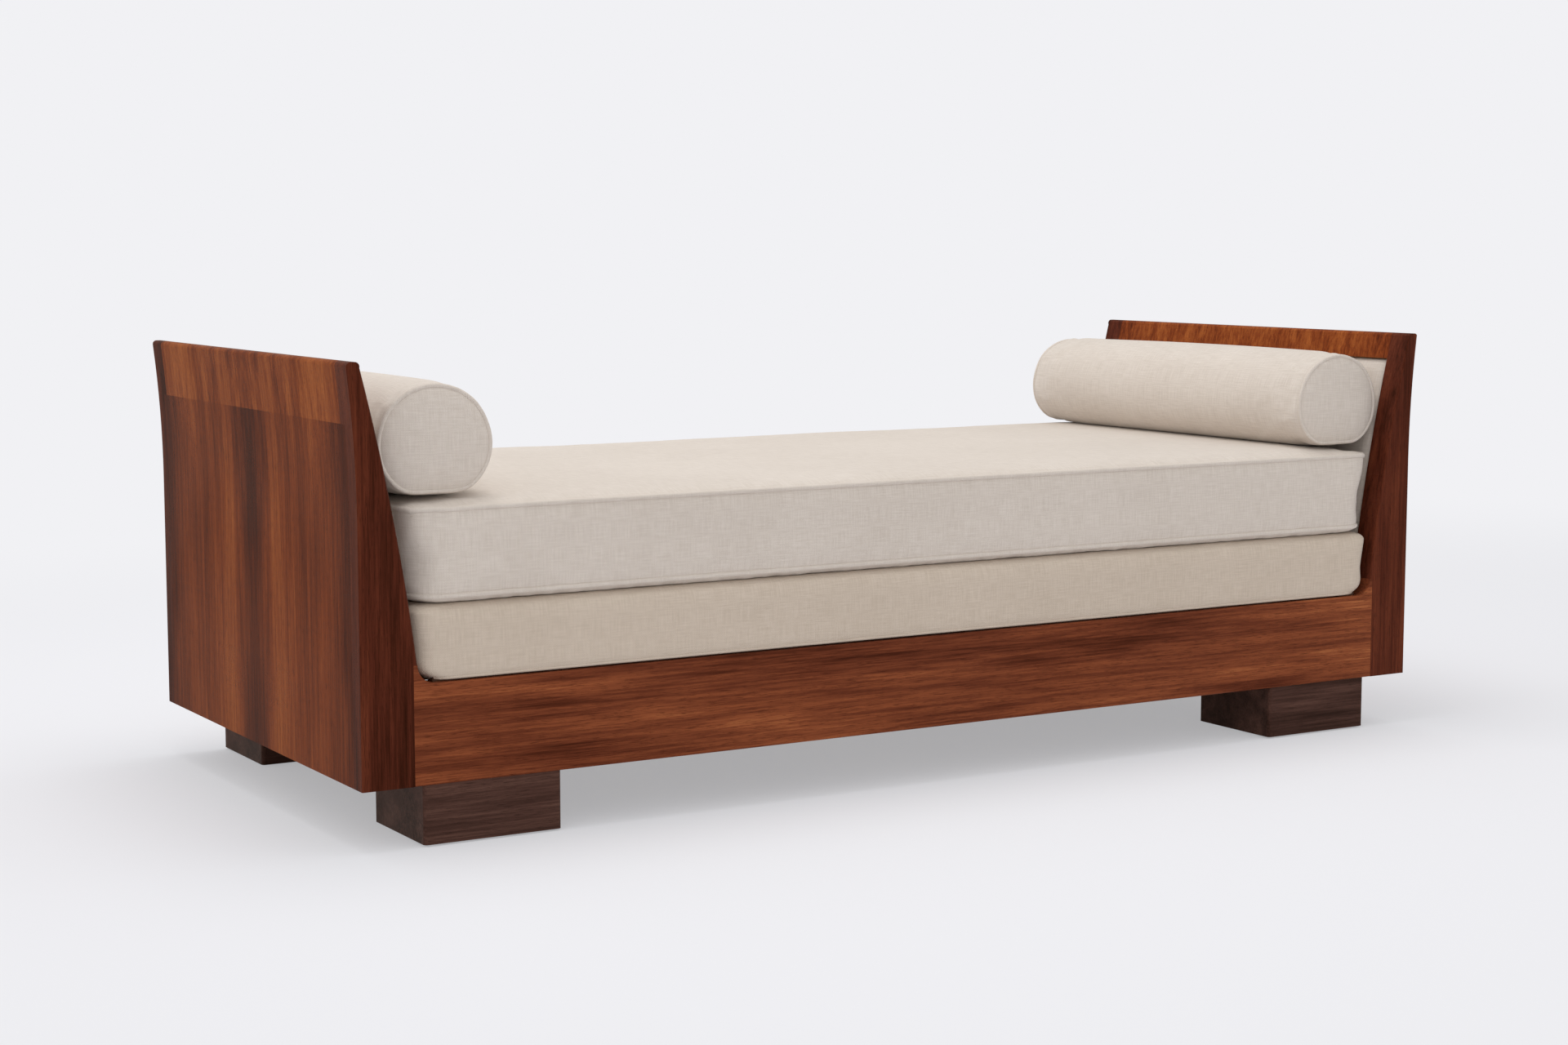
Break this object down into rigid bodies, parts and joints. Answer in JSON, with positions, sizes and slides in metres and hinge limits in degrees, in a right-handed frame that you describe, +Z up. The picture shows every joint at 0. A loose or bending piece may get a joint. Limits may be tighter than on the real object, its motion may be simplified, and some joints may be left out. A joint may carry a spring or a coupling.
{
  "type": "backless divan",
  "caption": "Backless divan with two flared wooden ends, low rails on block feet, an upholstered base, a loose mattress and a round bolster lying against each end.",
  "frame": {"origin": "on the floor, under the centre of the divan", "axes": "+X along the length to the right end, +Y to the back, +Z up"},
  "size_m": [2.05, 0.874, 0.71],
  "materials": {
    "mahogany_veneer": "polished reddish-brown mahogany veneer, gloss",
    "mahogany_dark": "polished dark mahogany, gloss",
    "ebonised_wood": "dark stained wood, satin",
    "plain_wood": "planed softwood and plywood, unfinished",
    "cream_cloth": "off-white woven upholstery cloth",
    "webbing": "woven jute webbing",
    "steel": "zinc plated steel",
    "felt": "brown felt pad"
  },
  "bodies": {
    "frame": {"left_end_front_stile": "mahogany_dark", "left_end_back_stile": "mahogany_dark", "left_end_outer_panel": "mahogany_veneer", "left_end_cap_rail": "mahogany_veneer", "left_end_lower_rail": "plain_wood", "left_end_backing_board": "plain_wood", "left_end_studs": "plain_wood", "left_end_inner_pad": "cream_cloth", "right_end_front_stile": "mahogany_dark", "right_end_back_stile": "mahogany_dark", "right_end_outer_panel": "mahogany_veneer", "right_end_cap_rail": "mahogany_veneer", "right_end_lower_rail": "plain_wood", "right_end_backing_board": "plain_wood", "right_end_studs": "plain_wood", "right_end_inner_pad": "cream_cloth", "front_rail": "mahogany_veneer", "back_rail": "mahogany_veneer", "stretcher_left": "plain_wood", "stretcher_middle": "plain_wood", "stretcher_right": "plain_wood", "foot_front_left": "ebonised_wood", "foot_plate_front_left": "plain_wood", "foot_front_right": "ebonised_wood", "foot_plate_front_right": "plain_wood", "foot_back_left": "ebonised_wood", "foot_plate_back_left": "plain_wood", "foot_back_right": "ebonised_wood", "foot_plate_back_right": "plain_wood", "foot_glides": "felt", "foot_bolts": "steel", "base_front_rail": "plain_wood", "base_back_rail": "plain_wood", "base_left_rail": "plain_wood", "base_right_rail": "plain_wood", "base_braces": "plain_wood", "webbing_long": "webbing", "webbing_cross": "webbing", "base_pad": "cream_cloth", "base_front_border": "cream_cloth", "base_back_border": "cream_cloth"},
    "mattress": {"mattress": "cream_cloth"},
    "bolster_left": {"bolster_left": "cream_cloth"},
    "bolster_right": {"bolster_right": "cream_cloth"}
  },
  "joints": [
    {"name": "mattress_lift", "type": "slide", "parent": "frame", "child": "mattress", "axis": [0, 0, 1], "range_m": [0, 0.25]},
    {"name": "bolster_left_lift", "type": "slide", "parent": "mattress", "child": "bolster_left", "axis": [0, 0, 1], "range_m": [0, 0.2]},
    {"name": "bolster_right_lift", "type": "slide", "parent": "mattress", "child": "bolster_right", "axis": [0, 0, 1], "range_m": [0, 0.2]}
  ]
}
